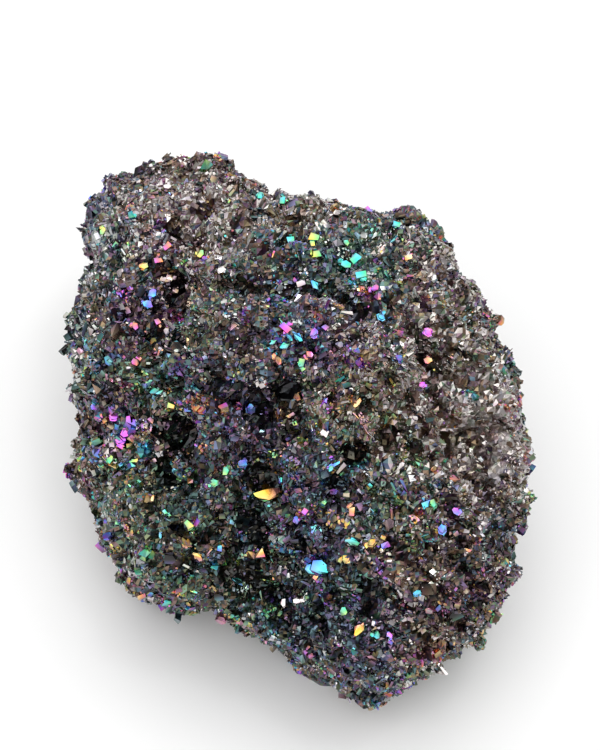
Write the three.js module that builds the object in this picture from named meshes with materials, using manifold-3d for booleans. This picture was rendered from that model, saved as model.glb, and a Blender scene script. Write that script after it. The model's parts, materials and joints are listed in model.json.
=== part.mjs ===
// Rainbow hematite specimen: one hand-sized lump of drusy iridescent crystals on a broken underside.
// Millimetres, +Z up, origin in the middle of the resting face. The best side looks towards -Y and up.
import * as THREE from "three";
import { mergeVertices } from "three/addons/utils/BufferGeometryUtils.js";
import { ImprovedNoise } from "three/addons/math/ImprovedNoise.js";
import Module from "manifold-3d";

// The show side is described in a plane that faces it: u runs right, v runs up and w comes out of it.
const showElevation = THREE.MathUtils.degToRad(55);
const uAxis = new THREE.Vector3(1, 0, 0);
const vAxis = new THREE.Vector3(0, Math.sin(showElevation), Math.cos(showElevation));
const wAxis = new THREE.Vector3(0, -Math.cos(showElevation), Math.sin(showElevation));

// Outline of the lump in the show plane, anticlockwise from its right-hand end.
const outline = [
  [39, 0], [37.5, 7], [34.5, 13.5], [32.5, 21], [28.5, 27], [26.5, 32.5], [21, 35.5], [9, 38.5],
  [2.5, 41], [-5.5, 43], [-11, 45.5], [-22.5, 49], [-30.5, 45.5], [-36.5, 43], [-39, 37], [-38, 29],
  [-38.8, 21.5], [-39.3, 13.5], [-38.3, 3.5], [-37.5, -3], [-37, -13], [-35.5, -19], [-31.5, -25.5],
  [-28, -29.5], [-23, -32], [-16.5, -31.5], [-9, -36], [-3.5, -40.5], [2, -44], [8.5, -46.5],
  [14.5, -48.5], [20.5, -44], [26, -39.5], [32, -35.5], [35, -31], [37, -26], [38, -18], [39, -11],
  [39.2, -5],
];
const outlineInset = 1.1;
// The middle of the lump, from the middle of the face that it rests on.
const centre = new THREE.Vector3(0, 0, 32);
const frontDepth = 27;
const backDepth = 39;
const roundness = 2.35;
// The lump's edge stands forward at the right, and falls back at the left and at the top.
const lean = { right: 0.18, up: -0.14, ends: -0.14, blend: 0.3 };

// Raised forms on the show side: a path in the show plane, how far it stands out and how wide it is.
const risings = [
  { name: "nearKnob", path: [[14, -12], [17, -19]], height: 7.5, width: 8.5 },
  { name: "knobRim", path: [[24, -6], [26.5, -15], [22, -26]], height: 3, width: 3.2 },
  { name: "brow", path: [[-14, 17.5], [0, 16], [13, 9]], height: 4.5, width: 5.5 },
  { name: "leftCheek", path: [[-31, 16], [-29, 10]], height: 3, width: 7 },
  { name: "farLeftHead", path: [[-30, 34], [-22, 38]], height: 2.5, width: 7 },
  { name: "lowerLeftLobe", path: [[-27, -15], [-20, -20]], height: 3, width: 7 },
  { name: "footLobe", path: [[4, -33], [12, -36]], height: 4.5, width: 6.5 },
  { name: "leftSpur", path: [[-38, -5.5], [-37, -7.5]], height: 5, width: 3.6 },
  { name: "rightRib", path: [[27, 15], [32.5, 2], [34, -10]], height: 3, width: 3.6 },
  { name: "lowerRightLobe", path: [[28, -27], [25, -34]], height: 3, width: 4.5 },
  { name: "middleHump", path: [[-15, 5], [-13, -1]], height: 2.5, width: 6 },
  { name: "backShelf", path: [[8, 30], [18, 25]], height: 2, width: 7 },
];

// Hollows and crevices on the show side, written the same way.
const hollows = [
  { name: "headGully", path: [[-24, 27.5], [-20, 21.5], [-22, 15]], height: -7.5, width: 4 },
  { name: "browCrevice", path: [[-10, 23], [-3, 23.5], [5, 21]], height: -5, width: 2.6 },
  { name: "leftPit", path: [[-21.5, 0], [-20, -3]], height: -4.5, width: 3.4 },
  { name: "middlePit", path: [[-6.5, 0], [-7, 3]], height: -3.5, width: 3 },
  { name: "darkValley", path: [[-9, -8], [-9.5, -16], [-8, -23], [-2, -27]], height: -9, width: 4.6 },
  { name: "knobCrevice", path: [[7.5, -13], [8.5, -5.5], [15, -2], [28, -5]], height: -6.5, width: 2.8 },
  { name: "underKnob", path: [[3, -21.5], [11, -26], [19, -29]], height: -5.5, width: 3 },
  { name: "footPit", path: [[1, -36], [4, -38]], height: -3, width: 3 },
  { name: "rightGroove", path: [[21, 15], [24, 5], [29, -8], [32.5, -16]], height: -4.5, width: 2.4 },
  { name: "lowerRightGroove", path: [[25.5, -21], [30, -30]], height: -4, width: 2.6 },
  { name: "lowerLeftPit", path: [[-29, -20], [-27, -22]], height: -3, width: 2.8 },
  { name: "leftFootPit", path: [[-22.5, -28], [-18, -29]], height: -4.5, width: 3.4 },
  { name: "backPit", path: [[-2, 36], [0, 33]], height: -3.5, width: 3.4 },
  { name: "backRightPit", path: [[18, 31], [21, 28]], height: -3.5, width: 3.4 },
];

// A form fades out from its path, and ends at this many of its widths.
const formReach = 3.2;

// Natural relief that covers the whole lump.
const nodules = { cell: 11, height: 4.4, middle: 0.65, seed: 4 };
const smallNodules = { cell: 6, height: 2.8, middle: 0.65, seed: 9 };
const swell = { wavelength: 27, height: 2.4 };
const ledges = {
  spacing: 6.5,
  depth: 1.5,
  riseShare: 0.8,
  bend: 3,
  bendLength: 18,
  direction: new THREE.Vector3(0.62, 0.55, 0.56).normalize(),
};
const facets = { shift: 1.9, seed: 31 };
const ballDetail = 17;
// The underside is broken off level: everything below the resting face is cut away.
const underCut = { width: 160, depth: 40 };

// Hexagonal plates and blocks of crystal that stand out of the lump.
const crystals = {
  count: 84,
  seed: 20,
  radius: [1.5, 3.2],
  thickness: [1.1, 2.6],
  taper: 0.86,
  longest: 1.5,
  leastTilt: 0.25,
  sunk: 0.42,
  lowest: 6,
};

const noise = new ImprovedNoise();

// A repeatable source of numbers from 0 to 1.
function randomFrom(seed) {
  let state = seed >>> 0;
  return () => {
    state = (state + 0x6d2b79f5) >>> 0;
    let t = Math.imul(state ^ (state >>> 15), 1 | state);
    t = (t + Math.imul(t ^ (t >>> 7), 61 | t)) ^ t;
    return ((t ^ (t >>> 14)) >>> 0) / 4294967296;
  };
}

function between([low, high], share) {
  return low + (high - low) * share;
}

// A fixed number from 0 to 1 for each cell of a grid.
function cellNumber(x, y, z, salt) {
  const s = Math.sin(x * 127.1 + y * 311.7 + z * 74.7 + salt * 53.3) * 43758.5453;
  return s - Math.floor(s);
}

// 1 in the middle of a rounded nodule, 0 in the seam between nodules.
function noduleHeight(point, { cell, seed }) {
  const p = point.clone().divideScalar(cell);
  const base = p.clone().floor();
  const spot = new THREE.Vector3();
  let nearest = Infinity;
  for (let i = -1; i <= 1; i++) {
    for (let j = -1; j <= 1; j++) {
      for (let k = -1; k <= 1; k++) {
        const [x, y, z] = [base.x + i, base.y + j, base.z + k];
        spot.set(
          x + cellNumber(x, y, z, seed),
          y + cellNumber(x, y, z, seed + 1),
          z + cellNumber(x, y, z, seed + 2),
        );
        nearest = Math.min(nearest, spot.distanceToSquared(p));
      }
    }
  }
  return Math.max(0, 1 - nearest);
}

// The outline's reach from the middle, at any angle round the show plane.
function outlineReach() {
  const points = outline.map(([u, v]) => {
    const length = Math.hypot(u, v);
    const inset = (length - outlineInset) / length;
    return new THREE.Vector3(u * inset, v * inset, 0);
  });
  const curve = new THREE.CatmullRomCurve3(points, true, "centripetal");
  const ring = curve.getPoints(720).slice(0, -1);
  const turns = ring
    .map((p) => ({ angle: Math.atan2(p.y, p.x), reach: Math.hypot(p.x, p.y) }))
    .sort((a, b) => a.angle - b.angle);
  return (angle) => {
    let next = turns.findIndex((t) => t.angle >= angle);
    if (next === -1) next = 0;
    const a = turns[(next + turns.length - 1) % turns.length];
    const b = turns[next];
    const span = (b.angle - a.angle + 2 * Math.PI) % (2 * Math.PI);
    const share = span > 1e-9 ? ((angle - a.angle + 2 * Math.PI) % (2 * Math.PI)) / span : 0;
    return a.reach + (b.reach - a.reach) * share;
  };
}

const reachAt = outlineReach();

// How far the lump's edge stands forward at a place in the show plane, that far from the middle.
function leanAt(u, v, away) {
  return lean.right * u + lean.up * v + lean.ends * Math.hypot(v, lean.blend * away);
}

// Distance from the middle to the plain rounded form along a direction.
function plainRadius(direction) {
  const u = direction.dot(uAxis);
  const v = direction.dot(vAxis);
  const w = direction.dot(wAxis) - leanAt(u, v, 1);
  const side = Math.hypot(u, v) / reachAt(Math.atan2(v, u));
  const depth = Math.abs(w) / (w > 0 ? frontDepth : backDepth);
  return (side ** roundness + depth ** roundness) ** (-1 / roundness);
}

// The point of the plain form's show side over a place in the show plane, from the middle of the lump.
function onShowSide([u, v]) {
  const reach = reachAt(Math.atan2(v, u));
  const side = Math.min(1, Math.hypot(u, v) / reach);
  const w = frontDepth * (1 - side ** roundness) ** (1 / roundness) + leanAt(u, v, reach);
  return new THREE.Vector3()
    .addScaledVector(uAxis, u)
    .addScaledVector(vAxis, v)
    .addScaledVector(wAxis, w);
}

const forms = [...risings, ...hollows].map((form) => ({ ...form, spots: form.path.map(onShowSide) }));

// How far a point is from a path over the show side.
function distanceToPath(point, spots) {
  const nearest = new THREE.Vector3();
  let least = Infinity;
  for (let i = 0; i + 1 < spots.length; i++) {
    new THREE.Line3(spots[i], spots[i + 1]).closestPointToPoint(point, true, nearest);
    least = Math.min(least, nearest.distanceTo(point));
  }
  return least;
}

// Steps of broken bedding: a slow rise and a short drop across each ledge.
function ledgeStep(point) {
  const length = ledges.bendLength;
  const bend = ledges.bend * noise.noise(point.x / length, point.y / length, point.z / length);
  const along = (point.dot(ledges.direction) + bend) / ledges.spacing;
  const share = along - Math.floor(along);
  const rise = ledges.riseShare;
  return (share < rise ? share / rise : (1 - share) / (1 - rise)) - 0.5;
}

// Distance from the middle to the finished surface along a direction.
function stoneRadius(direction) {
  const radius = plainRadius(direction);
  const point = direction.clone().multiplyScalar(radius);
  let extra = 0;
  for (const { spots, height, width } of forms) {
    const away = distanceToPath(point, spots);
    if (away < formReach * width) extra += height * Math.exp(-((away / width) ** 2));
  }
  const s = swell.wavelength;
  extra += swell.height * noise.noise(point.x / s + 7, point.y / s, point.z / s);
  for (const size of [nodules, smallNodules]) {
    extra += size.height * (noduleHeight(point, size) - size.middle);
  }
  extra += ledges.depth * ledgeStep(point);
  return radius + extra;
}

function solidFrom(wasm, geometry) {
  geometry.deleteAttribute("normal");
  geometry.deleteAttribute("uv");
  const merged = mergeVertices(geometry, 1e-4);
  return new wasm.Manifold(
    new wasm.Mesh({
      numProp: 3,
      vertProperties: merged.attributes.position.array,
      triVerts: new Uint32Array(merged.index.array),
    }),
  );
}

function geometryFrom(solid) {
  const { numProp, numVert, vertProperties, triVerts } = solid.getMesh();
  const places = new Float32Array(numVert * 3);
  for (let i = 0; i < numVert; i++) {
    places.set(vertProperties.subarray(i * numProp, i * numProp + 3), i * 3);
  }
  return new THREE.BufferGeometry()
    .setAttribute("position", new THREE.BufferAttribute(places, 3))
    .setIndex(new THREE.BufferAttribute(triVerts, 1));
}

// The lump's body: a divided ball drawn out to the stone's surface, its corners shifted to give facets.
function stoneGeometry() {
  const ball = new THREE.IcosahedronGeometry(1, ballDetail);
  ball.deleteAttribute("normal");
  ball.deleteAttribute("uv");
  const merged = mergeVertices(ball, 1e-5);
  const places = merged.attributes.position;
  const direction = new THREE.Vector3();
  for (let i = 0; i < places.count; i++) {
    direction.fromBufferAttribute(places, i).normalize();
    const radius = stoneRadius(direction) + facets.shift * (cellNumber(i, 0, 0, facets.seed) - 0.5);
    const p = direction.clone().multiplyScalar(radius).add(centre);
    places.setXYZ(i, p.x, p.y, p.z);
  }
  return merged;
}

// One hexagonal crystal, its flat side turned to face, half sunk at its place.
function crystalGeometry({ radius, thickness, stretch, turn, facing, place }) {
  const plate = new THREE.CylinderGeometry(radius * crystals.taper, radius, thickness, 6);
  plate.rotateY(turn);
  plate.scale(stretch, 1, 1);
  const pose = new THREE.Quaternion().setFromUnitVectors(new THREE.Vector3(0, 1, 0), facing);
  return plate.applyQuaternion(pose).translate(place.x, place.y, place.z);
}

// Even, slightly shuffled directions all round, each with a crystal that leans at random.
function crystalPlaces() {
  const random = randomFrom(crystals.seed);
  const golden = Math.PI * (3 - Math.sqrt(5));
  const places = [];
  for (let i = 0; i < crystals.count; i++) {
    const height = 1 - (2 * (i + 0.5)) / crystals.count;
    const angle = golden * i + 0.5 * random();
    const ring = Math.sqrt(1 - height * height);
    const direction = new THREE.Vector3(ring * Math.cos(angle), ring * Math.sin(angle), height);
    const radius = between(crystals.radius, random() ** 1.6);
    const thickness = between(crystals.thickness, random());
    const lean = new THREE.Vector3(random() - 0.5, random() - 0.5, random() - 0.5).normalize();
    const tilt = between([crystals.leastTilt, 1], random());
    const facing = direction.clone().multiplyScalar(1 - tilt).addScaledVector(lean, tilt).normalize();
    const depth = stoneRadius(direction) - crystals.sunk * thickness * 0.5;
    const place = direction.clone().multiplyScalar(depth).add(centre);
    const stretch = between([1, crystals.longest], random());
    const turn = random() * Math.PI;
    if (place.z > crystals.lowest) places.push({ radius, thickness, stretch, turn, facing, place });
  }
  return places;
}

const wasm = await Module();
wasm.setup();

const body = solidFrom(wasm, stoneGeometry());
const grown = crystalPlaces().map((crystal) => solidFrom(wasm, crystalGeometry(crystal)));
const below = new THREE.BoxGeometry(underCut.width, underCut.width, underCut.depth);
below.translate(0, 0, -underCut.depth / 2);
const joined = wasm.Manifold.union([body, ...grown]).subtract(solidFrom(wasm, below));
// The outer skin alone: the small voids shut in between crystals are filled.
const [stone] = joined.decompose().sort((a, b) => b.volume() - a.volume());

const specimen = new THREE.Mesh(
  geometryFrom(stone),
  new THREE.MeshStandardMaterial({ color: 0x4a4448, roughness: 0.35, metalness: 0.85 }),
);
specimen.name = "specimen";

const group = new THREE.Group();
group.add(specimen);

export default group;
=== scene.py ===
# Rainbow hematite specimen: a near-black druse of small flat crystals with an iridescent film.
import json
import math

import bmesh
import bpy
import numpy as np
from mathutils import Matrix, Quaternion, Vector, noise
from mathutils.bvhtree import BVHTree
from mathutils.kdtree import KDTree

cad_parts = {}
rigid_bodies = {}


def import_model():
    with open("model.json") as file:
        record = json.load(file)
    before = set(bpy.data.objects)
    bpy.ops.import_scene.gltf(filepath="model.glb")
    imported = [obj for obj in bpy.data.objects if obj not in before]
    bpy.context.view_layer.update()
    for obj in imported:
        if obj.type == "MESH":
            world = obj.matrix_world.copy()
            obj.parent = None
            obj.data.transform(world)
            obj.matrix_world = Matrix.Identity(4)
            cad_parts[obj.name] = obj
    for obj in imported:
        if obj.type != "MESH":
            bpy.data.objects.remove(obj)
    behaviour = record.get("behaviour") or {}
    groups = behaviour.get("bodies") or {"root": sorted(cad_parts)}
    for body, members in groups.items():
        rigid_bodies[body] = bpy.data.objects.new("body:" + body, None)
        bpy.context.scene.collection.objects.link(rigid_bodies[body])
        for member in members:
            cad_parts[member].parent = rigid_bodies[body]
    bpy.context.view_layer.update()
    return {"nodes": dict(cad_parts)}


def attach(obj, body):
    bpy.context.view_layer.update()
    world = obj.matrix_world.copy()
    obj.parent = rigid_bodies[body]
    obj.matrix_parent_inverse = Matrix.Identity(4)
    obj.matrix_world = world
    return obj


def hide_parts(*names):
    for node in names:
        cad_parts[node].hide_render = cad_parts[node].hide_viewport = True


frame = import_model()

mm = 0.001
filmMap = "OFBake"  # the crystals' UV map: across is the film's colour, up is its tone
mapMargin = 0.12  # left free round the map, so that colours can sweep over a face at either end
mapEdge = 0.002  # no corner of a face comes nearer to the map's own edge


# Camera

photoView = {
    "elevation": math.radians(55),
    "distance": 400 * mm,
    "middle": Vector((0, 0, 32)) * mm,  # the middle of the lump
    "middlePixel": (300, 425),  # and where it shows
    "imageSize": (600, 750),
    "pixelsPerMetre": 5800,
    "sensor": 36,
}

viewRight = Vector((1, 0, 0))
viewUp = Vector((0, math.sin(photoView["elevation"]), math.cos(photoView["elevation"])))
viewOut = Vector((0, -math.cos(photoView["elevation"]), math.sin(photoView["elevation"])))
aimShift = (photoView["middlePixel"][1] - photoView["imageSize"][1] / 2) / photoView["pixelsPerMetre"]
aim = photoView["middle"] + viewUp * aimShift
eye = aim + viewOut * photoView["distance"]


def makeCamera():
    data = bpy.data.cameras.new("photoCamera")
    data.sensor_width = photoView["sensor"]
    longSide = photoView["imageSize"][1] / photoView["pixelsPerMetre"]
    data.lens = photoView["sensor"] * photoView["distance"] / longSide
    data.clip_start = 10 * mm
    camera = bpy.data.objects.new("photoCamera", data)
    camera.location = eye
    camera.rotation_euler = (math.pi / 2 - photoView["elevation"], 0, 0)
    bpy.context.scene.collection.objects.link(camera)
    bpy.context.scene.camera = camera


def throughPixel(x, y):
    wide, high = photoView["imageSize"]
    across = (x - wide / 2) / photoView["pixelsPerMetre"]
    upward = (high / 2 - y) / photoView["pixelsPerMetre"]
    return (aim + viewRight * across + viewUp * upward - eye).normalized()


# Light and floor

studio = {
    "floorSize": 4,
    "floorColour": (0.95, 0.95, 0.945, 1),
    "floorRoughness": 0.6,
    "floorSpecular": 0.1,
    "world": (0.50, 0.50, 0.505, 1),
    "lamps": {  # place, size and strength in watts
        "window": ((0.10, -0.05, 1.20), 1.30, 8.8),
        "backdrop": ((0.00, 1.45, 0.45), 1.80, 9.0),
        "fill": ((-0.35, -0.80, 0.80), 1.20, 4.0),
        "glint": ((0.22, -0.06, 0.95), 0.10, 0.36),
    },
}


def makeStudio():
    mesh = bpy.data.meshes.new("floor")
    floorMesh = bmesh.new()
    bmesh.ops.create_grid(floorMesh, x_segments=1, y_segments=1, size=studio["floorSize"] / 2)
    floorMesh.to_mesh(mesh)
    floorMesh.free()
    floor = bpy.data.objects.new("floor", mesh)
    bpy.context.scene.collection.objects.link(floor)
    material = bpy.data.materials.new("paleFloor")
    material.use_nodes = True
    shader = material.node_tree.nodes["Principled BSDF"]
    shader.inputs["Base Color"].default_value = studio["floorColour"]
    shader.inputs["Roughness"].default_value = studio["floorRoughness"]
    shader.inputs["Specular IOR Level"].default_value = studio["floorSpecular"]
    mesh.materials.append(material)

    world = bpy.data.worlds.new("studio")
    world.use_nodes = True
    world.node_tree.nodes["Background"].inputs["Color"].default_value = studio["world"]
    bpy.context.scene.world = world
    for name, (place, size, power) in studio["lamps"].items():
        lamp = bpy.data.lights.new(name, "AREA")
        lamp.size = size
        lamp.energy = power
        holder = bpy.data.objects.new(name, lamp)
        holder.location = place
        holder.rotation_euler = (Vector(place) - photoView["middle"]).to_track_quat("Z", "Y").to_euler()
        bpy.context.scene.collection.objects.link(holder)
    bpy.context.scene.view_settings.view_transform = "Standard"
    print("studio:", len(studio["lamps"]), "lamps")


# Materials

filmColours = {  # where each colour of the film stands on the map, and its tint
    "straw": (0.00, (0.66, 0.47, 0.21)),
    "orange": (0.08, (0.62, 0.22, 0.05)),
    "rose": (0.16, (0.50, 0.09, 0.18)),
    "magenta": (0.24, (0.46, 0.08, 0.46)),
    "violet": (0.32, (0.21, 0.08, 0.52)),
    "blue": (0.41, (0.06, 0.15, 0.56)),
    "cyan": (0.50, (0.08, 0.42, 0.60)),
    "teal": (0.59, (0.04, 0.42, 0.37)),
    "green": (0.68, (0.07, 0.42, 0.17)),
    "lime": (0.77, (0.34, 0.50, 0.11)),
    "gold": (0.86, (0.64, 0.41, 0.08)),
    "amber": (0.895, (0.70, 0.34, 0.03)),
    "copper": (0.93, (0.57, 0.24, 0.12)),
    "pink": (1.00, (0.55, 0.23, 0.36)),
}
toneStops = {  # up the map: the bare crystal's colour, how much of the film shows, and how bright it is
    0.00: ((0.044, 0.043, 0.043), 0.00, 0.00),
    0.07: ((0.098, 0.097, 0.096), 0.40, 0.31),
    0.18: ((0.220, 0.214, 0.210), 0.38, 0.72),
    0.38: ((0.385, 0.377, 0.372), 0.12, 1.00),
    0.48: ((0.510, 0.496, 0.490), 0.05, 1.35),
    0.61: ((0.700, 0.678, 0.668), 0.03, 1.35),
    0.66: ((0.220, 0.214, 0.210), 0.55, 0.45),
    0.75: ((0.220, 0.214, 0.210), 0.55, 0.45),
    0.86: ((0.300, 0.292, 0.286), 0.64, 1.05),
    0.93: ((0.320, 0.311, 0.304), 0.78, 1.26),
    0.98: ((0.200, 0.195, 0.190), 0.94, 1.20),
}


# Film and tone run from 0 to 1 between the map's margins.
def onMap(share):
    return mapMargin + (1 - 2 * mapMargin) * share


def insideMap(places):
    return np.clip(places, mapEdge, 1 - mapEdge).astype(np.float32)


def rampFrom(nodes, stops):
    ramp = nodes.new("ShaderNodeValToRGB")
    elements = ramp.color_ramp.elements
    while len(elements) < len(stops):
        elements.new(0.5)
    for element, (place, colour) in zip(elements, sorted(stops)):
        element.position = onMap(place)
        element.color = (*colour, 1)
    return ramp


# One group gives the film's colour for a place on the film map.
def filmGroup():
    group = bpy.data.node_groups.new("iridescentFilm", "ShaderNodeTree")
    group.interface.new_socket("Place", in_out="INPUT", socket_type="NodeSocketVector")
    group.interface.new_socket("Colour", in_out="OUTPUT", socket_type="NodeSocketColor")
    nodes, links = group.nodes, group.links
    came = nodes.new("NodeGroupInput")
    goes = nodes.new("NodeGroupOutput")
    split = nodes.new("ShaderNodeSeparateXYZ")
    links.new(came.outputs["Place"], split.inputs[0])
    film = rampFrom(nodes, list(filmColours.values()))
    bare = rampFrom(nodes, [(place, colour) for place, (colour, _, _) in toneStops.items()])
    amount = rampFrom(nodes, [(place, (much,) * 3) for place, (_, much, _) in toneStops.items()])
    bright = rampFrom(nodes, [(place, (light,) * 3) for place, (_, _, light) in toneStops.items()])
    shade = nodes.new("ShaderNodeVectorMath")
    shade.operation = "MULTIPLY"
    links.new(split.outputs["X"], film.inputs["Fac"])
    links.new(split.outputs["Y"], bare.inputs["Fac"])
    links.new(split.outputs["Y"], amount.inputs["Fac"])
    links.new(split.outputs["Y"], bright.inputs["Fac"])
    links.new(film.outputs["Color"], shade.inputs[0])
    links.new(bright.outputs["Color"], shade.inputs[1])
    mix = nodes.new("ShaderNodeMix")
    mix.data_type = "RGBA"
    links.new(amount.outputs["Color"], mix.inputs["Factor"])
    links.new(bare.outputs["Color"], mix.inputs["A"])
    links.new(shade.outputs["Vector"], mix.inputs["B"])
    links.new(mix.outputs["Result"], goes.inputs["Colour"])
    return group


def filmMaterial(name, film, roughness):
    material = bpy.data.materials.new(name)
    material.use_nodes = True
    nodes, links = material.node_tree.nodes, material.node_tree.links
    shader = nodes["Principled BSDF"]
    place = nodes.new("ShaderNodeUVMap")
    place.uv_map = filmMap
    colour = nodes.new("ShaderNodeGroup")
    colour.node_tree = film
    links.new(place.outputs["UV"], colour.inputs["Place"])
    links.new(colour.outputs["Colour"], shader.inputs["Base Color"])
    shader.inputs["Metallic"].default_value = 1.0
    shader.inputs["Roughness"].default_value = roughness
    return material


# Rock body

rockLook = {
    "voxel": 0.62 * mm,  # about the size of the body's facets
    "smoothing": 4,
    "inset": 0.55 * mm,  # room for the crystals that stand on it
    "levelBelow": 0.4 * mm,  # the underside stays level up to this height
    "fadeHeight": 3 * mm,  # and the relief grows to its full height over this
    "relief": {  # texture, size and height
        "clumps": ("VORONOI", 4.8 * mm, -2.6 * mm),
        "pits": ("VORONOI", 2.3 * mm, 1.3 * mm),
        "grit": ("CLOUDS", 1.0 * mm, 0.9 * mm),
    },
    "shake": 0.19 * mm,  # how far each vertex strays
    "roundSteps": 80,  # ledges and pockets are pushed along the lump's smoothed surface
    "pocketSize": 5.5 * mm,
    "pocketDepth": 2.3 * mm,
    "pocketFrom": 0.18,  # a pocket starts where the noise passes this
    "pocketFull": 0.50,  # and has its full depth from here
    "ledgeSpacing": 3.8 * mm,
    "ledgeDepth": 1.6 * mm,
    "ledgeCut": 0.6,  # share of the depth that is cut in, the rest stands out
    "ledgeBend": 0.9,  # how far the ledges bend, as a share of their spacing
    "ledgeBendLength": 8 * mm,
    "flankFrom": 4 * mm,  # the right flank, which has the ledges, starts at this x
    "flankWidth": 20 * mm,  # and they grow to their full depth over this
    "flankPlain": 0.7,  # and there the pockets are this much shallower
    "shapeSeed": 3,
    # The body's facets are kept darker than the crystals, partly as the dark rock, partly as painted
    # shade in the gaps between them.
    "toneShare": 0.62,  # the body's own facets have this share of the crystals' tone
    "toneCap": 0.20,  # and none of them is vivid or pale, but for pale ones in the calm patches
    "paleKept": 2,  # how readily those keep theirs
    "facetSweep": 0.012,  # how far film and tone change across a facet
    "tintSeed": 5,
    "roughness": 0.30,
}
bedding = Vector((0.62, 0.55, 0.56)).normalized()  # square to the ledges that the lump is broken along
# Painted shade: faces that lie deep below the lump's smoothed surface, or in its fine creases, get a
# darker tone, as shade falls there.
hollowShade = {
    "scales": {220: 0.75, 900: 0.45},  # smoothing steps, and how much the depth below that counts
    "shadeFrom": -0.5 * mm,  # the tone falls from this depth
    "shadeFull": 2.3 * mm,  # to this one
    "creaseSteps": 60,  # and in the fine creases, from one depth to the other
    "creaseFrom": 0.10 * mm,
    "creaseShadeFull": 0.95 * mm,
    "least": 0.26,  # the share of the tone that is left there
}


def applyModifiers(piece):
    bpy.context.view_layer.update()
    shaped = piece.evaluated_get(bpy.context.evaluated_depsgraph_get())
    mesh = bpy.data.meshes.new_from_object(shaped)
    piece.modifiers.clear()
    old = piece.data
    piece.data = mesh
    bpy.data.meshes.remove(old)


def vertexPlaces(mesh):
    places = np.empty(len(mesh.vertices) * 3)
    mesh.vertices.foreach_get("co", places)
    return places.reshape(-1, 3)


def facePlaces(mesh):
    centres = np.empty(len(mesh.polygons) * 3)
    mesh.polygons.foreach_get("center", centres)
    normals = np.empty(len(mesh.polygons) * 3)
    mesh.polygons.foreach_get("normal", normals)
    return centres.reshape(-1, 3), normals.reshape(-1, 3)


# The vertices' places and normals once the lump is smoothed in so many steps.
def rounded(rock, steps):
    smooth = rock.modifiers.new("rounded", "SMOOTH")
    smooth.iterations = steps
    bpy.context.view_layer.update()
    mesh = rock.evaluated_get(bpy.context.evaluated_depsgraph_get()).data
    places = vertexPlaces(mesh)
    normals = np.empty(places.size)
    mesh.vertices.foreach_get("normal", normals)
    rock.modifiers.remove(smooth)
    return places, normals.reshape(-1, 3)


def noiseAt(places, size):
    return np.array([noise.noise(Vector(place) / size) for place in places])


def onFlank(places):
    return np.clip((places[:, 0] - rockLook["flankFrom"]) / rockLook["flankWidth"], 0, 1)


# Steps along the bedding: each rises slowly and breaks off.
def ledges(places):
    bends = noiseAt(places, rockLook["ledgeBendLength"])
    along = places @ np.array(bedding) / rockLook["ledgeSpacing"] + rockLook["ledgeBend"] * bends
    return (along % 1 - rockLook["ledgeCut"]) * rockLook["ledgeDepth"] * onFlank(places)


def pockets(places):
    low, high = rockLook["pocketFrom"], rockLook["pocketFull"]
    share = np.clip((noiseAt(places, rockLook["pocketSize"]) - low) / (high - low), 0, 1)
    return -rockLook["pocketDepth"] * share * (1 - rockLook["flankPlain"] * onFlank(places))


def makeRock():
    merged = bmesh.new()
    merged.from_mesh(frame["nodes"]["specimen"].data)
    bmesh.ops.remove_doubles(merged, verts=merged.verts, dist=0.01 * mm)
    mesh = bpy.data.meshes.new("rockBody")
    merged.to_mesh(mesh)
    merged.free()
    rock = bpy.data.objects.new("rockBody", mesh)
    bpy.context.scene.collection.objects.link(rock)
    remesh = rock.modifiers.new("fineMesh", "REMESH")
    remesh.mode = "VOXEL"
    remesh.voxel_size = rockLook["voxel"]
    soften = rock.modifiers.new("soften", "SMOOTH")
    soften.iterations = rockLook["smoothing"]
    applyModifiers(rock)

    # The level underside keeps its place, and the relief fades in above it.
    heights = vertexPlaces(rock.data)[:, 2]
    share = np.clip((heights - rockLook["levelBelow"]) / rockLook["fadeHeight"], 0, 1)
    free = rock.vertex_groups.new(name="free")
    for index, weight in enumerate(share):
        free.add([index], float(weight), "REPLACE")
    inset = rock.modifiers.new("inset", "DISPLACE")
    inset.strength = -rockLook["inset"]
    inset.mid_level = 0
    inset.vertex_group = "free"
    for name, (kind, size, height) in rockLook["relief"].items():
        texture = bpy.data.textures.new(name, kind)
        texture.noise_scale = size
        relief = rock.modifiers.new(name, "DISPLACE")
        relief.texture = texture
        relief.texture_coords = "LOCAL"
        relief.strength = height
        relief.mid_level = 0.5
        relief.vertex_group = "free"
    applyModifiers(rock)

    random = np.random.default_rng(rockLook["shapeSeed"])
    places = vertexPlaces(rock.data)
    push = (ledges(places) + pockets(places)) * share
    places += rounded(rock, rockLook["roundSteps"])[1] * push[:, None]
    places += random.uniform(-1, 1, places.shape) * rockLook["shake"] * share[:, None]
    places[:, 2] = np.maximum(places[:, 2], 0)
    places[share == 0, 2] = 0
    rock.data.vertices.foreach_set("co", places.ravel())
    rock.data.update()
    print("rock body:", len(rock.data.polygons), "faces")
    return rock


# How deep each face of the body lies below the lump's smoothed surface, and in its own crease.
def hollowDepths(rock):
    corners = np.empty(len(rock.data.loops), dtype=np.int32)
    rock.data.loops.foreach_get("vertex_index", corners)
    starts = np.empty(len(rock.data.polygons), dtype=np.int32)
    rock.data.polygons.foreach_get("loop_start", starts)
    _, normals = facePlaces(rock.data)
    below = {}
    for steps in (*hollowShade["scales"], hollowShade["creaseSteps"]):
        moved = rounded(rock, steps)[0] - vertexPlaces(rock.data)
        below[steps] = (moved[corners[starts]] * normals).sum(axis=1)
    deep = sum(weight * below[steps] for steps, weight in hollowShade["scales"].items())
    return np.column_stack([deep, below[hollowShade["creaseSteps"]]])


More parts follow.
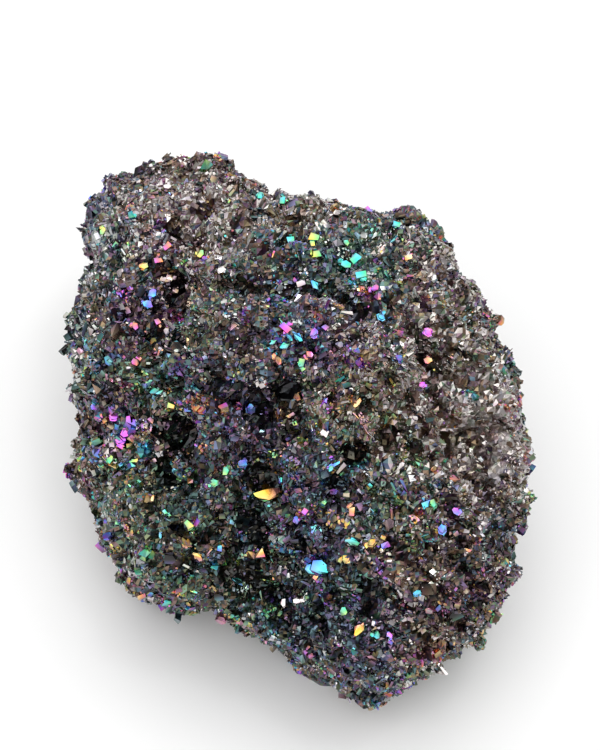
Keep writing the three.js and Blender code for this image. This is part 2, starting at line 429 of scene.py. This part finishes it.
# Painted shade in the hollows: the tone falls with depth, as where shade falls, by as much as the
# patches there say.
def duller(tone, depths, much):
    hollow = (depths[:, 0] - hollowShade["shadeFrom"]) / (hollowShade["shadeFull"] - hollowShade["shadeFrom"])
    crease = (depths[:, 1] - hollowShade["creaseFrom"]) / (hollowShade["creaseShadeFull"] - hollowShade["creaseFrom"])
    share = np.maximum(np.clip(hollow, 0, 1) * much, np.clip(crease, 0, 1))
    floor = np.where(tone > vividFrom, vividFrom, 0)
    return floor + (tone - floor) * (1 - (1 - hollowShade["least"]) * share)


# Crystal shapes, about 1 across, with the flat face up

def isTop(face):
    return face.normal.z > 0.8


# Colours sweep over each face, and the side faces differ from the top.
def dressFaces(shape, play, random):
    layer = shape.loops.layers.uv.new(filmMap)
    for face in shape.faces:
        shift = (0, 0) if isTop(face) else random.normal(0, (play, shapeLook["sideTone"]))
        middle = face.calc_center_median()
        along = face.calc_tangent_edge()
        across = face.normal.cross(along)
        for loop in face.loops:
            away = loop.vert.co - middle
            film = shift[0] + shapeLook["filmSweep"] * away.dot(along)
            tone = shift[1] + shapeLook["toneSweep"] * away.dot(across)
            loop[layer].uv = (film, tone)


def prism(sides, thickness, taper=0.92):
    shape = bmesh.new()
    bmesh.ops.create_cone(
        shape, cap_ends=True, cap_tris=False, segments=sides, depth=thickness,
        radius1=0.5, radius2=0.5 * taper,
    )
    return shape


def hexPlate():
    return prism(sides=6, thickness=0.24)


def hexBlock():
    return prism(sides=6, thickness=0.62, taper=0.8)


def triangleBlock():
    return prism(sides=3, thickness=0.4, taper=0.7)


# A plate with a smaller plate grown on its face.
def steppedPlate():
    shape = prism(sides=6, thickness=0.3, taper=0.95)
    top = [face for face in shape.faces if isTop(face)]
    bmesh.ops.inset_individual(shape, faces=top, thickness=0.12)
    grown = bmesh.ops.extrude_discrete_faces(shape, faces=top)["faces"]
    rise = Vector((0.03, 0.05, 0.14))
    bmesh.ops.translate(shape, verts=grown[0].verts, vec=rise)
    return shape


# Half a hexagon, as a plate shows where it grows out of its neighbour.
def halfPlate():
    shape = prism(sides=6, thickness=0.26)
    everything = shape.verts[:] + shape.edges[:] + shape.faces[:]
    bmesh.ops.bisect_plane(
        shape, geom=everything, plane_co=(0, 0.02, 0), plane_no=(0, 1, 0), clear_outer=True
    )
    bmesh.ops.holes_fill(shape, edges=shape.edges[:])
    return shape


def slantBlock():
    shape = bmesh.new()
    bmesh.ops.create_cube(shape, size=0.75)
    bmesh.ops.scale(shape, verts=shape.verts, vec=(1, 0.9, 0.75))
    top = next(face for face in shape.faces if isTop(face))
    bmesh.ops.translate(shape, verts=top.verts, vec=(0.14, 0.08, 0))
    return shape


def blade():
    shape = bmesh.new()
    bmesh.ops.create_cube(shape, size=1)
    bmesh.ops.scale(shape, verts=shape.verts, vec=(1.25, 0.42, 0.2))
    end = next(face for face in shape.faces if abs(face.normal.x) > 0.9)
    bmesh.ops.scale(shape, verts=end.verts, vec=(1, 0.55, 0.8))
    return shape


def shard():
    return prism(sides=3, thickness=0.9, taper=0.3)


# A thin plate with an uneven rim, as large crystals break.
def raggedPlate():
    random = np.random.default_rng(shapeLook["rimSeed"])
    shape = bmesh.new()
    bmesh.ops.create_circle(shape, cap_ends=True, segments=11, radius=0.5)
    for corner in shape.verts:
        corner.co *= random.uniform(*shapeLook["rim"])
    thick = bmesh.ops.extrude_face_region(shape, geom=shape.faces[:])["geom"]
    corners = [part for part in thick if isinstance(part, bmesh.types.BMVert)]
    bmesh.ops.translate(shape, verts=corners, vec=(0, 0, 0.14))
    # Extruding leaves the rim's faces in any order, and each draws its own colour later.
    shape.faces.sort(key=lambda face: sum(face.calc_center_median()))
    return shape


# How often each shape is used for small and for large crystals, and its play of colour. Geometry Nodes
# count the shapes in the order of their names.
crystalShapes = {
    "aHexPlate": (hexPlate, 0.12, 0.18, 0.04),
    "bHexBlock": (hexBlock, 0.14, 0.18, 0.07),
    "cTriangleBlock": (triangleBlock, 0.14, 0.04, 0.04),
    "dSteppedPlate": (steppedPlate, 0.00, 0.20, 0.07),
    "eHalfPlate": (halfPlate, 0.14, 0.10, 0.05),
    "fSlantBlock": (slantBlock, 0.26, 0.16, 0.08),
    "gBlade": (blade, 0.12, 0.06, 0.06),
    "hShard": (shard, 0.08, 0.00, 0.05),
    "iRaggedPlate": (raggedPlate, 0.00, 0.08, 0.08),
}
shapeLook = {
    "variants": 4,  # uneven copies of each shape
    "unevenness": (0.09, 0.09, 0.03),  # how far their corners stray, least across the flat face
    "rim": (0.42, 1.15),  # how far a ragged plate's corners stand out
    "rimSeed": 17,
    "filmSweep": 0.15,  # how far the film's colour changes across a crystal's face
    "toneSweep": 0.20,
    "sideTone": 0.03,  # how much the side faces' tone varies
    "seed": 2,
}


def makeShapes():
    random = np.random.default_rng(shapeLook["seed"])
    collection = bpy.data.collections.new("crystalShapes")
    for name, (make, _, _, play) in crystalShapes.items():
        for variant in range(shapeLook["variants"]):
            shape = make()
            for corner in shape.verts:
                corner.co += Vector(random.uniform(-1, 1, 3) * shapeLook["unevenness"])
            bmesh.ops.recalc_face_normals(shape, faces=shape.faces)
            dressFaces(shape, play, random)
            mesh = bpy.data.meshes.new(name + str(variant))
            shape.to_mesh(mesh)
            shape.free()
            collection.objects.link(bpy.data.objects.new(name + str(variant), mesh))
    return collection


# Where the crystals grow

crust = {
    "cover": 0.62,  # share of the body's faces that carry a crystal
    "smallSize": (0.69 * mm, 0.46),  # the middle size, and how widely it varies
    "largeShare": 0.030,  # share of the crystals that are larger
    "largeSize": (1.60 * mm, 0.28),
    "largest": 2.7 * mm,
    "largestPale": 1.5 * mm,  # wide pale plates would look like chips
    "proportions": ((0.9, 0.65, 0.6), (1.15, 1.05, 1.2)),  # the least and most along, across and thick
    "streakShape": (1.5, 0.6, 0.5),  # by which those in the streaks are longer and thinner
    "lift": (-0.28, 0.26),  # how far a crystal's middle stands out, as a share of its size
    "grains": 4600,  # groups whose crystals stand nearly parallel
    "grainTilt": 0.75,  # how far the grains lean
    "grainSpread": 0.10,  # and how far a crystal leans from its grain
    "parallelShare": 0.86,  # share of the crystals that stand with their grain
    "looseTilt": 0.90,  # how far the others lean
    "streakTilt": 0.40,  # and those in the streaks
    "streakWander": 0.25,  # how far these turn from the streak's direction
    "filmSpread": 0.14,  # how far a grain's film strays from its patch's
    "filmPlay": 0.03,  # and a crystal's from its grain's
    "tonePlay": 0.02,
    "ownFilm": 0.12,  # share of crystals that don't follow their grain's colour
    "ownTone": 0.26,  # and its tone
    "keepAbove": 0.7 * mm,  # nothing grows lower
    "groundGap": 0.75,  # the least height of a crystal's middle, as a share of its size
    "sectors": 5,  # pieces that the crust is made in
    "roughness": 0.20,
    "seed": 11,
}
toneRange = {"dark": (0.01, 0.18), "vivid": (0.82, 0.97), "pale": (0.38, 0.55)}
calmTones = (0.18, 0.87, 0.39)  # what dark, vivid and pale crystals come near to in the calm patches
vividFrom = 0.75  # where the vivid tones start, and the least that the painted shade in the hollows darkens them to


def isPale(tone):
    return (tone > toneRange["pale"][0]) & (tone < vividFrom)


# Patches seen in the photo: pixel, reach in pixels, film colour, and the shares of vivid and of pale
# crystals. Some have finer crystals, calmer tones or less painted shade in their hollows, and on the
# right flank the crystals lie in streaks.
patches = [
    {"at": (478, 420), "reach": 62, "film": "pink", "vivid": 0.05, "pale": 0.92, "size": 0.56,
     "streaks": 0.9, "calm": 0.6, "paintedShade": 0.1},
    {"at": (455, 340), "reach": 45, "film": "copper", "vivid": 0.12, "pale": 0.76, "size": 0.62,
     "streaks": 0.9, "calm": 0.4, "paintedShade": 0.3},
    {"at": (500, 480), "reach": 40, "film": "pink", "vivid": 0.08, "pale": 0.78, "size": 0.54,
     "streaks": 0.9, "calm": 0.6, "paintedShade": 0.1},
    {"at": (452, 396), "reach": 30, "film": "straw", "vivid": 0.08, "pale": 0.94, "size": 0.58,
     "streaks": 0.9, "calm": 0.4, "paintedShade": 0.0},
    {"at": (505, 580), "reach": 34, "film": "straw", "vivid": 0.10, "pale": 0.66, "size": 0.75},
    {"at": (190, 190), "reach": 60, "film": "straw", "vivid": 0.08, "pale": 0.76, "size": 0.66,
     "calm": 0.6, "paintedShade": 0.5},
    {"at": (100, 240), "reach": 40, "film": "teal", "vivid": 0.06, "pale": 0.62, "calm": 0.6},
    {"at": (150, 230), "reach": 26, "film": "rose", "vivid": 0.14, "pale": 0.66},
    {"at": (300, 215), "reach": 45, "film": "copper", "vivid": 0.12, "pale": 0.58, "size": 0.80,
     "calm": 0.5},
    {"at": (215, 230), "reach": 36, "film": "straw", "vivid": 0.08, "pale": 0.88, "size": 0.66,
     "calm": 0.3, "paintedShade": 0.3},
    {"at": (275, 278), "reach": 26, "film": "copper", "vivid": 0.16, "pale": 0.54, "size": 0.80},
    {"at": (240, 320), "reach": 40, "film": "straw", "vivid": 0.14, "pale": 0.54, "size": 0.60},
    {"at": (385, 385), "reach": 36, "film": "copper", "vivid": 0.18, "pale": 0.76, "size": 0.66,
     "streaks": 0.7, "calm": 0.2, "paintedShade": 0.3},
    {"at": (412, 432), "reach": 38, "film": "copper", "vivid": 0.14, "pale": 0.86, "size": 0.66,
     "streaks": 0.8, "calm": 0.3, "paintedShade": 0.2},
    {"at": (415, 560), "reach": 34, "film": "pink", "vivid": 0.16, "pale": 0.66, "size": 0.75},
    {"at": (425, 640), "reach": 36, "film": "straw", "vivid": 0.16, "pale": 0.74, "size": 0.75},
    {"at": (120, 430), "reach": 30, "film": "magenta", "vivid": 0.55, "pale": 0.20},
    {"at": (150, 432), "reach": 24, "film": "rose", "vivid": 0.34, "pale": 0.64, "paintedShade": 0.6},
    {"at": (125, 500), "reach": 40, "film": "green", "vivid": 0.27, "pale": 0.06, "size": 0.85},
    {"at": (200, 520), "reach": 40, "film": "teal", "vivid": 0.30, "pale": 0.02, "size": 0.85},
    {"at": (190, 545), "reach": 30, "film": "gold", "vivid": 0.28, "pale": 0.04, "size": 0.90},
    {"at": (185, 580), "reach": 34, "film": "green", "vivid": 0.30, "pale": 0.18, "size": 0.85},
    {"at": (230, 440), "reach": 40, "film": "violet", "vivid": 0.36, "pale": 0.04, "size": 0.66},
    {"at": (300, 500), "reach": 42, "film": "blue", "vivid": 0.31, "pale": 0.04, "size": 0.85},
    {"at": (245, 520), "reach": 28, "film": "teal", "vivid": 0.12, "pale": 0.00},
    {"at": (272, 625), "reach": 26, "film": "teal", "vivid": 0.24, "pale": 0.00},
    {"at": (300, 350), "reach": 34, "film": "violet", "vivid": 0.44, "pale": 0.22},
    {"at": (335, 328), "reach": 28, "film": "rose", "vivid": 0.22, "pale": 0.76, "size": 0.75},
    {"at": (350, 405), "reach": 34, "film": "gold", "vivid": 0.44, "pale": 0.42},
    {"at": (350, 270), "reach": 36, "film": "teal", "vivid": 0.30, "pale": 0.54},
    {"at": (450, 282), "reach": 34, "film": "pink", "vivid": 0.10, "pale": 0.84,
     "calm": 0.4, "paintedShade": 0.2},
    {"at": (380, 500), "reach": 40, "film": "green", "vivid": 0.26, "pale": 0.18, "calm": 0.4},
    {"at": (326, 536), "reach": 26, "film": "blue", "vivid": 0.08, "pale": 0.00},
    {"at": (330, 640), "reach": 46, "film": "blue", "vivid": 0.12, "pale": 0.00, "size": 0.85},
    {"at": (335, 590), "reach": 26, "film": "teal", "vivid": 0.28, "pale": 0.14},
    {"at": (395, 628), "reach": 24, "film": "violet", "vivid": 0.22, "pale": 0.74, "paintedShade": 0.4},
    {"at": (455, 598), "reach": 34, "film": "rose", "vivid": 0.10, "pale": 0.00},
    {"at": (150, 300), "reach": 46, "film": "rose", "vivid": 0.28, "pale": 0.30},
    {"at": (182, 434), "reach": 22, "film": "green", "vivid": 0.30, "pale": 0.30, "paintedShade": 0.2},
    {"at": (150, 380), "reach": 40, "film": "green", "vivid": 0.30, "pale": 0.12},
    {"at": (85, 345), "reach": 34, "film": "teal", "vivid": 0.20, "pale": 0.56, "calm": 0.5},
]
hidden = {  # patches drawn for the sides that the photo doesn't show
    "count": 40,
    "reach": (26, 52),
    "vivid": (0.06, 0.42),
    "pale": (0.04, 0.66),
    "size": (0.62, 1.0),
    "seed": 8,
}
elsewhere = {"weight": 0.25, "vivid": 0.24, "pale": 0.28}  # what lies between them

# Crystals that stand out in the photo: film colour, tone, size in mm, length to width, how many grow
# together, how their length lies in the picture in degrees, and the pixels where they show.
standouts = [
    ("amber", 0.98, 5.4, 1.6, 1, 20, [(268, 498)]),
    ("amber", 0.98, 3.6, 2.0, 1, 70, [(360, 632)]),
    ("amber", 0.89, 2.4, 1.6, 2, -35, [(185, 541), (198, 555)]),
    ("gold", 0.89, 1.8, 1.2, 2, None, [(154, 344), (143, 267), (347, 558), (372, 545)]),
    ("orange", 0.88, 1.7, 1.3, 2, None, [(144, 594), (277, 361), (352, 511), (429, 360), (300, 398)]),
    ("straw", 0.92, 1.8, 1.4, 2, None, [(116, 465), (147, 498), (355, 404)]),
    ("lime", 0.94, 2.0, 1.2, 2, None, [(313, 239), (317, 255)]),
    ("lime", 0.90, 1.7, 1.3, 2, None, [(85, 452), (136, 462), (200, 254), (190, 525), (105, 232)]),
    ("green", 0.89, 1.7, 1.2, 3, None, [(213, 483), (302, 366), (433, 505), (344, 612), (225, 470)]),
    ("teal", 0.90, 3.0, 2.2, 1, -10, [(352, 542), (236, 583)]),
    ("teal", 0.90, 2.2, 1.8, 2, 30, [(168, 602), (156, 391), (285, 345)]),
    ("teal", 0.92, 1.5, 1.1, 2, None,
     [(290, 241), (259, 196), (282, 201), (395, 226), (133, 217), (376, 636)]),
    ("teal", 0.96, 2.1, 1.2, 2, None, [(358, 258), (362, 275), (346, 267)]),
    ("cyan", 0.96, 2.8, 2.2, 2, -45, [(296, 336), (315, 285)]),
    ("cyan", 0.96, 3.4, 1.1, 2, -20, [(320, 568)]),
    ("cyan", 0.94, 1.7, 1.4, 2, None, [(380, 318), (161, 536), (416, 594)]),
    ("blue", 0.92, 1.8, 1.1, 3, None,
     [(298, 520), (241, 463), (147, 304), (153, 293), (442, 530), (250, 408)]),
    ("violet", 0.96, 3.0, 1.1, 3, None, [(134, 424)]),
    ("violet", 0.92, 1.7, 1.3, 3, None, [(332, 493), (388, 637), (386, 543), (314, 333), (457, 511)]),
    ("magenta", 0.96, 2.1, 1.2, 4, None, [(115, 416), (120, 440), (127, 432), (284, 328)]),
    ("magenta", 0.92, 1.8, 1.3, 3, None, [(374, 290), (427, 333), (421, 387)]),
    ("rose", 0.89, 1.6, 1.2, 2, None, [(167, 246), (159, 259), (135, 327), (135, 362), (309, 355)]),
    ("pink", 0.56, 1.6, 1.3, 4, None,
     [(285, 604), (306, 597), (298, 600), (327, 434), (223, 270), (168, 188)]),
]
standoutLook = {
    "flake": "iRaggedPlate",
    "flakeFrom": 1.5,  # the length to width of those that are flakes, and the others are blocks
    "blocks": ["fSlantBlock", "bHexBlock", "dSteppedPlate"],
    "around": 5,  # pixels over which the rock's facing is averaged
    "thickness": 0.8,
    "lift": 0.22,  # how far each middle stands out, as a share of its size
    "flash": 1.8,  # how much each turns to where it flashes, against standing up from the rock
    "wander": 0.12,  # and how far it strays from that
    "scatter": 0.45,  # how far apart a cluster's crystals stand, as a share of their size
    "smaller": 0.66,  # each next crystal of a cluster, against the one before
    "seed": 23,
}


# The patches' places on the lump, and what grows there. The last entry is for what lies between them.
def placePatches(tree, rock):
    random = np.random.default_rng(hidden["seed"])
    centres, normals = facePlaces(rock.data)
    unseen = np.flatnonzero(normals @ np.array(viewOut) < 0)
    unseen = random.choice(unseen, hidden["count"], replace=False)
    count = hidden["count"]
    drawn = {key: random.uniform(*hidden[key], count) for key in ("reach", "vivid", "pale", "size")}
    usual = {"vivid": 0.0, "pale": 0.0, "size": 1.0, "streaks": 0.0, "calm": 0.0, "paintedShade": 1.0}
    spots = {}
    for key, value in usual.items():
        known = [patch.get(key, value) for patch in [*patches, elsewhere]]
        spots[key] = np.insert(known, len(patches), drawn.get(key, np.full(count, value)))
    seen = [tree.ray_cast(eye, throughPixel(*patch["at"]))[0] for patch in patches]
    spots["place"] = np.vstack([np.array(seen), centres[unseen]])
    reach = np.append([patch["reach"] for patch in patches], drawn["reach"])
    spots["reach"] = reach / photoView["pixelsPerMetre"]
    film = [filmColours[patch["film"]][0] for patch in patches]
    spots["film"] = np.append(film, random.random(count))
    return spots


# How much each patch has to say at some points.
def patchShares(points, spots):
    away = np.linalg.norm(points[:, None] - spots["place"], axis=2) / spots["reach"]
    between = np.full((len(points), 1), elsewhere["weight"])
    weights = np.hstack([np.exp(-away ** 2), between])
    return weights / weights.sum(axis=1, keepdims=True)


# Each crystal's film colour and tone, as its place on the film map.
def drawTints(shares, spots, random):
    count = len(shares)
    vivid, pale = shares @ spots["vivid"], shares @ spots["pale"]
    draw = random.random(count)
    kinds = np.where(draw < vivid, 1, np.where(draw < vivid + pale, 2, 0))
    ranges = np.array([toneRange["dark"], toneRange["vivid"], toneRange["pale"]])
    low, high = ranges[kinds].T
    tone = low + (high - low) * random.random(count)
    tone += (np.array(calmTones)[kinds] - tone) * (shares @ spots["calm"])
    patch = (shares.cumsum(axis=1) < random.random((count, 1))).sum(axis=1)
    inPatch = patch < len(spots["film"])
    film = spots["film"][np.where(inPatch, patch, 0)] + random.normal(0, crust["filmSpread"], count)
    return np.where(inPatch, film, random.random(count)) % 1, tone


# A turn that sets a crystal's flat face along a direction, at any angle round it.
def standing(direction, spin):
    return direction.to_track_quat("Z", "Y") @ Quaternion((0, 0, 1), spin)


def tilted(normal, spread, random):
    return (Vector(normal) + Vector(random.normal(0, spread, 3))).normalized()


# A turn that sets a crystal's flat face along a direction, and its length as near as it can to another.
def laid(facing, length):
    across = facing.cross(length).normalized()
    return Matrix((across.cross(facing), across, facing)).transposed().to_quaternion()


# Crystals in the streaks have their length along the ledges.
def bedded(normal, random):
    facing = tilted(normal, crust["streakTilt"], random)
    turn = Quaternion((0, 0, 1), random.normal(0, crust["streakWander"]))
    return laid(facing, facing.cross(bedding)) @ turn


def looseTurn(normal, tilt, streaks, random):
    if random.random() < streaks:
        return bedded(normal, random)
    return standing(tilted(normal, tilt, random), random.uniform(0, math.tau))


# Each crystal belongs to the grain whose seed is nearest.
def nearestGrains(centres, seeds):
    nearest = KDTree(len(seeds))
    for index, seed in enumerate(seeds):
        nearest.insert(centres[seed], index)
    nearest.balance()
    return np.array([nearest.find(centre)[1] for centre in centres])


# A grain's crystals share a tint, but for some that have their own.
def grainTints(seeds, grain, shares, spots, random):
    count = len(grain)
    seedFilm, seedTone = drawTints(shares[seeds], spots, random)
    ownFilm, ownTone = drawTints(shares, spots, random)
    draw = random.random(count)
    film = seedFilm[grain] + random.normal(0, crust["filmPlay"], count)
    tone = seedTone[grain] + random.normal(0, crust["tonePlay"], count)
    film = np.where(draw < crust["ownFilm"], ownFilm, film)
    tone = np.where(draw < crust["ownTone"], ownTone, tone)
    return film, tone


def drawSizes(tone, finer, random):
    count = len(tone)
    pale = isPale(tone)
    large = ~pale & (random.random(count) < crust["largeShare"])
    middle = np.where(large, crust["largeSize"][0], crust["smallSize"][0])
    spread = np.where(large, crust["largeSize"][1], crust["smallSize"][1])
    size = middle * np.exp(random.normal(0, 1, count) * spread) * finer
    return large, np.minimum(size, np.where(pale, crust["largestPale"], crust["largest"]))


def drawShapes(large, random):
    odds = np.array([[small, big] for _, small, big, _ in crystalShapes.values()])
    odds = (odds / odds.sum(axis=0)).cumsum(axis=0)
    kind = (odds[:, large.astype(int)].T < random.random((len(large), 1))).sum(axis=1)
    return kind * shapeLook["variants"] + random.integers(shapeLook["variants"], size=len(large))


# Crystals in one grain stand nearly parallel, and the rest stand at random.
def grainTurns(normals, grain, seedTurns, inStreak, random):
    parallel = random.random(len(grain)) < crust["parallelShare"]
    turns = []
    for index, normal in enumerate(normals):
        if parallel[index]:
            wobble = Vector(random.normal(0, crust["grainSpread"], 3))
            turn = Quaternion(wobble.normalized(), wobble.length) @ seedTurns[grain[index]]
        else:
            turn = looseTurn(normal, crust["looseTilt"], inStreak[index], random)
        turns.append(turn.to_euler())
    return np.array(turns)


def growCrust(rock, spots, depths):
    random = np.random.default_rng(crust["seed"])
    centres, normals = facePlaces(rock.data)
    taken = (centres[:, 2] > crust["keepAbove"]) & (random.random(len(centres)) < crust["cover"])
    centres, normals, depths = centres[taken], normals[taken], depths[taken]
    count = len(centres)
    shares = patchShares(centres, spots)
    streaks = shares @ spots["streaks"]

    seeds = random.choice(count, crust["grains"], replace=False)
    seedTurns = [looseTurn(normals[i], crust["grainTilt"], streaks[i], random) for i in seeds]
    grain = nearestGrains(centres, seeds)
    film, tone = grainTints(seeds, grain, shares, spots, random)

    large, size = drawSizes(tone, shares @ spots["size"], random)
    inStreak = random.random(count) < streaks
    scale = size[:, None] * random.uniform(*crust["proportions"], (count, 3))
    scale[inStreak & ~large] *= crust["streakShape"]
    shape = drawShapes(large, random)
    turns = grainTurns(normals, grain, seedTurns, inStreak, random)
    places = centres + normals * (random.uniform(*crust["lift"], count) * size)[:, None]
    places[:, 2] = np.maximum(places[:, 2], crust["groundGap"] * size)
    # The crystals' tone carries painted shade in the hollows.
    return {
        "place": places, "turn": turns, "size": scale, "shape": shape,
        "film": film, "tone": duller(tone, depths, shares @ spots["paintedShade"]),
    }


# Where the rock shows at a pixel, and which way it faces round there.
def rockAt(tree, x, y):
    step = standoutLook["around"]
    around = [(x + right, y + down) for right in (-step, 0, step) for down in (-step, 0, step)]
    hits = [tree.ray_cast(eye, throughPixel(*pixel)) for pixel in around]
    facing = sum((normal for _, normal, _, _ in hits if normal is not None), Vector())
    return tree.ray_cast(eye, throughPixel(x, y))[0], facing.normalized()


def growStandouts(tree):
    random = np.random.default_rng(standoutLook["seed"])
    lamp = Vector(studio["lamps"]["window"][0]).normalized()
    flash = (viewOut + lamp).normalized()
    names = list(crystalShapes)
    rows = []
    for film, tone, size, stretch, together, angle, pixels in standouts:
        for pixel in pixels:
            hit, normal = rockAt(tree, *pixel)
            if hit is None:
                print("no rock behind pixel", pixel)
                continue
            reach = size * mm
            for step in range(together):
                between = (standoutLook["flash"] * flash + normal).normalized()
                facing = tilted(between, standoutLook["wander"], random)
                lean = random.uniform(0, math.tau) if angle is None else math.radians(angle)
                turn = laid(facing, viewRight * math.cos(lean) + viewUp * math.sin(lean)).to_euler()
                scale = reach * Vector((1, 1 / stretch, standoutLook["thickness"]))
                aside = Vector(random.normal(0, 1, 3)) * standoutLook["scatter"] * reach
                aside -= aside.project(normal)
                if step == 0:
                    aside.zero()  # a cluster's first crystal stands at the pixel itself
                place = hit + aside + normal * (standoutLook["lift"] * reach)
                flake = stretch > standoutLook["flakeFrom"]
                kind = standoutLook["flake"] if flake else random.choice(standoutLook["blocks"])
                shape = names.index(kind) * shapeLook["variants"]
                shape += random.integers(shapeLook["variants"])
                rows.append((place, turn, scale, shape, filmColours[film][0], tone))
                reach *= standoutLook["smaller"]
    keys = ("place", "turn", "size", "shape", "film", "tone")
    return {key: np.array([row[index] for row in rows]) for index, key in enumerate(keys)}


# Geometry Nodes set a crystal on each point, make them real and shift each one's place on the film map.
def spreaderGroup(shapes):
    group = bpy.data.node_groups.new("crystalSpreader", "GeometryNodeTree")
    group.interface.new_socket("Geometry", in_out="INPUT", socket_type="NodeSocketGeometry")
    group.interface.new_socket("Geometry", in_out="OUTPUT", socket_type="NodeSocketGeometry")
    nodes, links = group.nodes, group.links

    def named(name, kind):
        node = nodes.new("GeometryNodeInputNamedAttribute")
        node.data_type = kind
        node.inputs["Name"].default_value = name
        return node.outputs["Attribute"]

    came = nodes.new("NodeGroupInput")
    goes = nodes.new("NodeGroupOutput")
    kinds = nodes.new("GeometryNodeCollectionInfo")
    kinds.inputs["Collection"].default_value = shapes
    kinds.inputs["Separate Children"].default_value = True
    kinds.inputs["Reset Children"].default_value = True
    spread = nodes.new("GeometryNodeInstanceOnPoints")
    spread.inputs["Pick Instance"].default_value = True
    turn = nodes.new("FunctionNodeEulerToRotation")
    real = nodes.new("GeometryNodeRealizeInstances")
    shift = nodes.new("ShaderNodeVectorMath")
    store = nodes.new("GeometryNodeStoreNamedAttribute")
    store.data_type = "FLOAT2"
    store.domain = "CORNER"
    store.inputs["Name"].default_value = filmMap
    links.new(came.outputs[0], spread.inputs["Points"])
    links.new(kinds.outputs["Instances"], spread.inputs["Instance"])
    links.new(named("shape", "INT"), spread.inputs["Instance Index"])
    links.new(named("turn", "FLOAT_VECTOR"), turn.inputs["Euler"])
    links.new(turn.outputs["Rotation"], spread.inputs["Rotation"])
    links.new(named("size", "FLOAT_VECTOR"), spread.inputs["Scale"])
    links.new(spread.outputs["Instances"], real.inputs["Geometry"])
    links.new(real.outputs["Geometry"], store.inputs["Geometry"])
    links.new(named(filmMap, "FLOAT_VECTOR"), shift.inputs[0])
    links.new(named("tint", "FLOAT_VECTOR"), shift.inputs[1])
    links.new(shift.outputs["Vector"], store.inputs["Value"])
    links.new(store.outputs["Geometry"], goes.inputs[0])
    return group


def keepOnMap(mesh):
    layer = mesh.uv_layers[filmMap].uv
    places = np.empty(len(layer) * 2, dtype=np.float32)
    layer.foreach_get("vector", places)
    layer.foreach_set("vector", insideMap(places))


def makeCrystals(name, crystals, chosen, spreader, material):
    mesh = bpy.data.meshes.new(name)
    places = crystals["place"][chosen]
    mesh.vertices.add(len(places))
    mesh.vertices.foreach_set("co", places.ravel())
    film, tone = onMap(crystals["film"][chosen]), onMap(crystals["tone"][chosen])
    tint = np.column_stack([film, tone, np.zeros(len(places))])
    vectors = {"turn": crystals["turn"][chosen], "size": crystals["size"][chosen], "tint": tint}
    for key, values in vectors.items():
        mesh.attributes.new(key, "FLOAT_VECTOR", "POINT").data.foreach_set("vector", values.ravel())
    mesh.attributes.new("shape", "INT", "POINT").data.foreach_set("value", crystals["shape"][chosen])
    piece = bpy.data.objects.new(name, mesh)
    bpy.context.scene.collection.objects.link(piece)
    piece.modifiers.new("spread", "NODES").node_group = spreader
    applyModifiers(piece)
    for key in [*vectors, "shape"]:
        piece.data.attributes.remove(piece.data.attributes[key])
    keepOnMap(piece.data)
    piece.data.name = name
    piece.data.materials.clear()
    piece.data.materials.append(material)
    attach(piece, "root")
    triangles = sum(len(face.vertices) - 2 for face in piece.data.polygons)
    print(name + ":", len(places), "crystals,", triangles, "triangles")
    return triangles


# The rock's own fine facets take the same film, mostly bare and dark: partly the dark rock, partly
# painted shade in the gaps between the crystals, with painted shade in the hollows too.
def dressRock(rock, spots, depths, material):
    random = np.random.default_rng(rockLook["tintSeed"])
    mesh = rock.data
    centres, _ = facePlaces(mesh)
    shares = patchShares(centres, spots)
    film, tone = drawTints(shares, spots, random)
    kept = isPale(tone) & (random.random(len(tone)) < rockLook["paleKept"] * shares @ spots["calm"])
    tone = np.where(kept, tone, np.minimum(tone, rockLook["toneCap"]) * rockLook["toneShare"])
    tone = duller(tone, depths, shares @ spots["paintedShade"])
    sides = np.empty(len(mesh.polygons), dtype=np.int32)
    mesh.polygons.foreach_get("loop_total", sides)
    square = np.array([(0, 0), (1, 0), (1, 1), (0, 1)]) * rockLook["facetSweep"]
    corners = np.tile(square, (len(sides), 1))[:sides.sum()]
    places = np.repeat(onMap(np.column_stack([film, tone])), sides, axis=0) + corners
    layer = mesh.uv_layers.new(name=filmMap)
    layer.uv.foreach_set("vector", insideMap(places).ravel())
    mesh.materials.clear()
    mesh.materials.append(material)


makeCamera()
makeStudio()
film = filmGroup()
rock = makeRock()
tree = BVHTree.FromObject(rock, bpy.context.evaluated_depsgraph_get())
spots = placePatches(tree, rock)
depths = hollowDepths(rock)
dressRock(rock, spots, depths, filmMaterial("rockFilm", film, rockLook["roughness"]))
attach(rock, "root")
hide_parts("specimen")

shapes = makeShapes()
spreader = spreaderGroup(shapes)
crystalFilm = filmMaterial("crystalFilm", film, crust["roughness"])
crystals = growCrust(rock, spots, depths)
roundAbout = np.argsort(np.arctan2(crystals["place"][:, 1], crystals["place"][:, 0]))
total = sum(len(face.vertices) - 2 for face in rock.data.polygons)
for index, chosen in enumerate(np.array_split(roundAbout, crust["sectors"])):
    total += makeCrystals(f"crystals{index + 1}", crystals, chosen, spreader, crystalFilm)
total += makeCrystals("brightCrystals", growStandouts(tree), slice(None), spreader, crystalFilm)
for shape in list(shapes.objects):
    bpy.data.objects.remove(shape)
bpy.data.collections.remove(shapes)
print("all:", total, "triangles")
